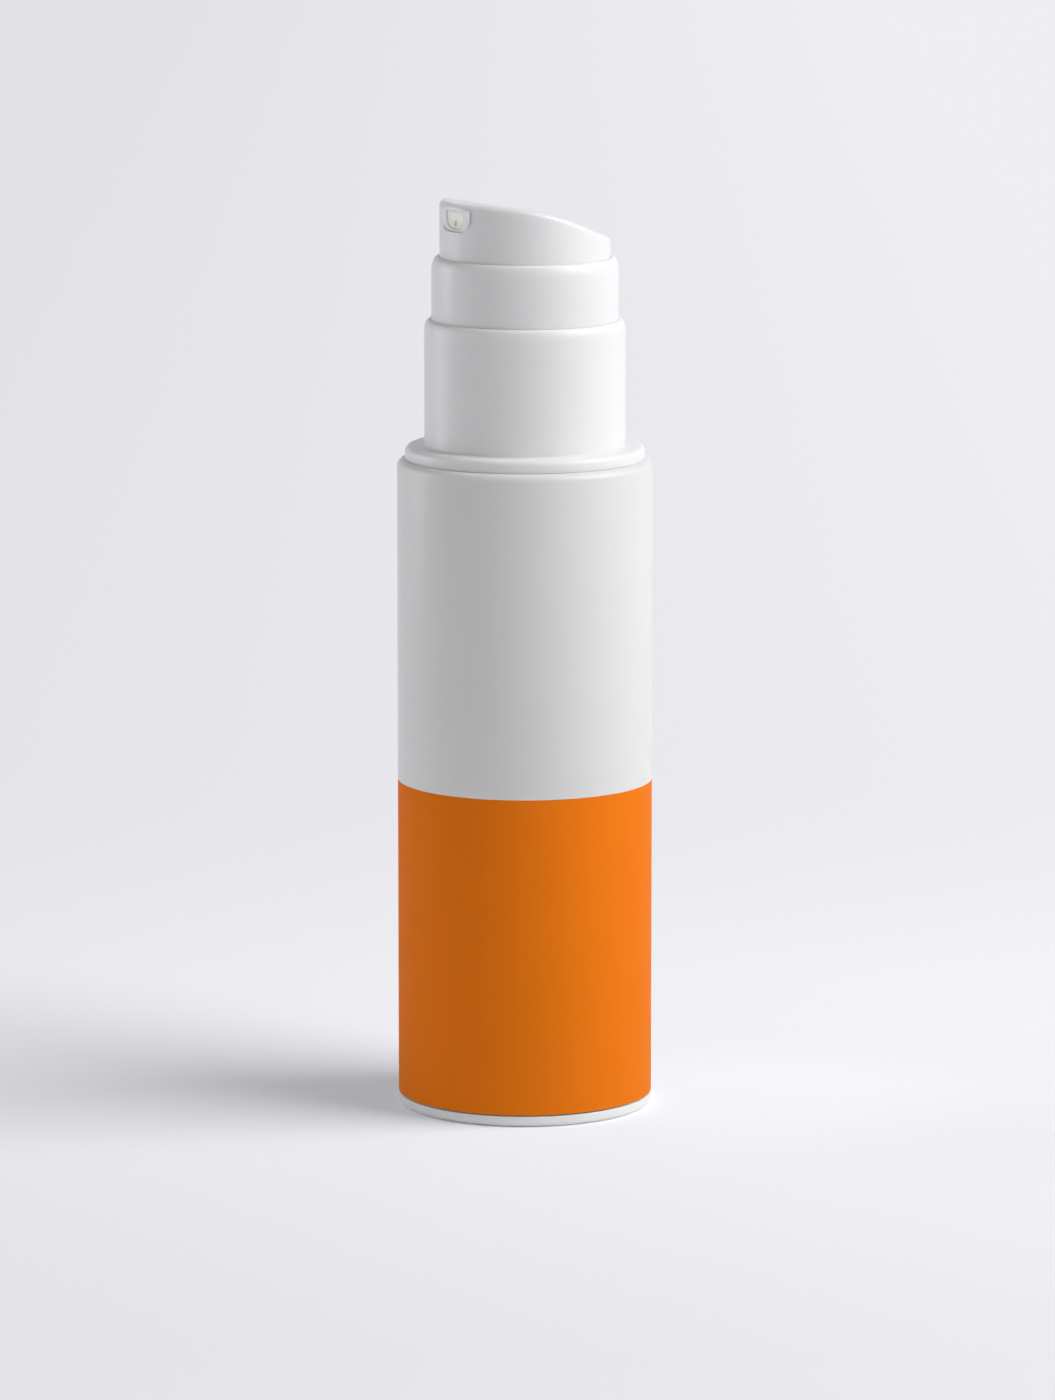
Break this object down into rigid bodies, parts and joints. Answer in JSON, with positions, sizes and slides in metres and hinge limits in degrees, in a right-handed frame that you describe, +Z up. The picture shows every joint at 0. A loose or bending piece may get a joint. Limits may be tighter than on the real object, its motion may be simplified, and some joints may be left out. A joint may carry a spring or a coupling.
{
  "type": "airless pump bottle",
  "caption": "Round airless pump bottle for sunscreen, white over orange, with a stepped head, a slanted finger top, a spout window and a follower piston inside.",
  "frame": {"origin": "centre of the base, on the plane that the bottle stands on", "axes": "+Z up along the bottle's axis, -Y the way the spout points"},
  "size_m": [0.05, 0.05, 0.1792],
  "materials": {
    "white_body": "satin moulded white",
    "white_gloss": "semi-gloss moulded white",
    "orange_film": "satin orange film",
    "natural_plastic": "natural polypropylene",
    "soft_seal": "waxy low-density polyethylene",
    "tip_elastomer": "milky yellowish elastomer",
    "spring_steel": "drawn stainless wire"
  },
  "bodies": {
    "bottle": {"bottle_body": "white_body", "orange_wrap": "orange_film", "base_cap": "white_gloss", "neck_gasket": "soft_seal", "pump_housing": "natural_plastic", "chaplet": "natural_plastic", "return_spring": "spring_steel", "neck_closure": "natural_plastic", "guide_sleeve": "white_gloss", "outer_collar": "white_gloss"},
    "follower": {"follower_piston": "natural_plastic"},
    "poppet": {"inlet_valve": "soft_seal"},
    "plunger": {"stem": "natural_plastic", "stem_plug": "natural_plastic"},
    "sliding_seal": {"pump_piston": "soft_seal"},
    "head": {"actuator_shell": "white_gloss", "nozzle_frame": "white_gloss", "nozzle_tip": "tip_elastomer", "spout_channel": "natural_plastic"}
  },
  "joints": [
    {"name": "actuator_press", "type": "slide", "parent": "bottle", "child": "plunger", "axis": [0, 0, -1], "range_m": [0, 0.005], "stiffness_N_per_m": 1000, "springref_m": -0.0024, "deforming": ["return_spring"]},
    {"name": "head_turn", "type": "hinge", "parent": "plunger", "child": "head", "pos_m": [0, 0, 0.16], "axis": [0, 0, 1], "continuous": true},
    {"name": "seal_shift", "type": "slide", "parent": "plunger", "child": "sliding_seal", "axis": [0, 0, 1], "range_m": [0, 0.0008]},
    {"name": "inlet_valve_lift", "type": "slide", "parent": "bottle", "child": "poppet", "axis": [0, 0, 1], "range_m": [0, 0.0012]},
    {"name": "follower_rise", "type": "slide", "parent": "bottle", "child": "follower", "axis": [0, 0, 1], "range_m": [0, 0.0975]}
  ]
}
